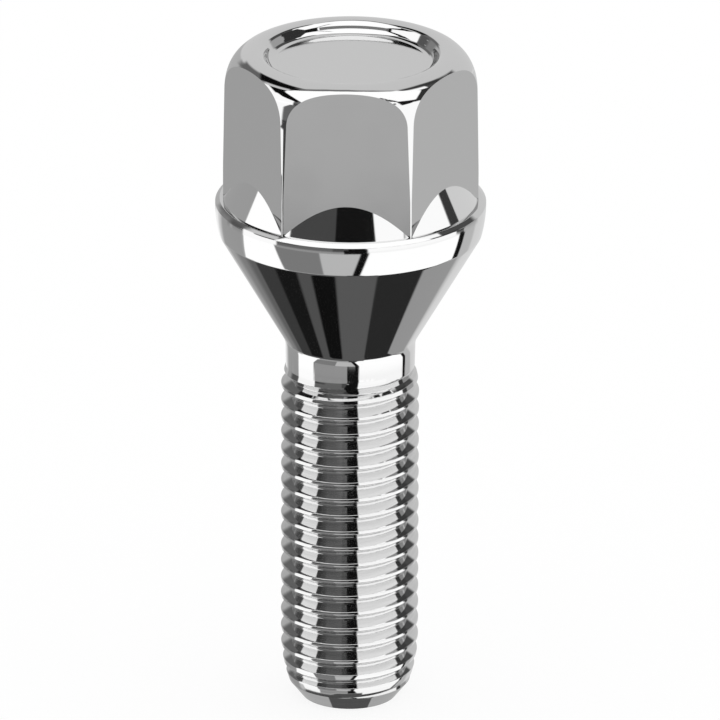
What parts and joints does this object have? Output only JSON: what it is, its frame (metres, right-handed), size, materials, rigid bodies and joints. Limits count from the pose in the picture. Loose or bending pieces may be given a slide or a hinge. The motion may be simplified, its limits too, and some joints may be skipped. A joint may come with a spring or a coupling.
{
  "type": "lug bolt",
  "caption": "Chromed wheel bolt: a domed hexagon head with a dished top flares into a round collar, a conical seat, a plain neck and a threaded shank with a chamfered end.",
  "frame": {"origin": "centre of the flat end face of the threaded shank, which the bolt stands on", "axes": "+Z along the bolt's axis towards the head, two flats of the hexagon square to Y, corners on X"},
  "size_m": [0.0232, 0.0232, 0.0591],
  "materials": {
    "chrome": "bright chrome plate on steel"
  },
  "bodies": {
    "root": {"lug_bolt": "chrome"}
  },
  "joints": []
}
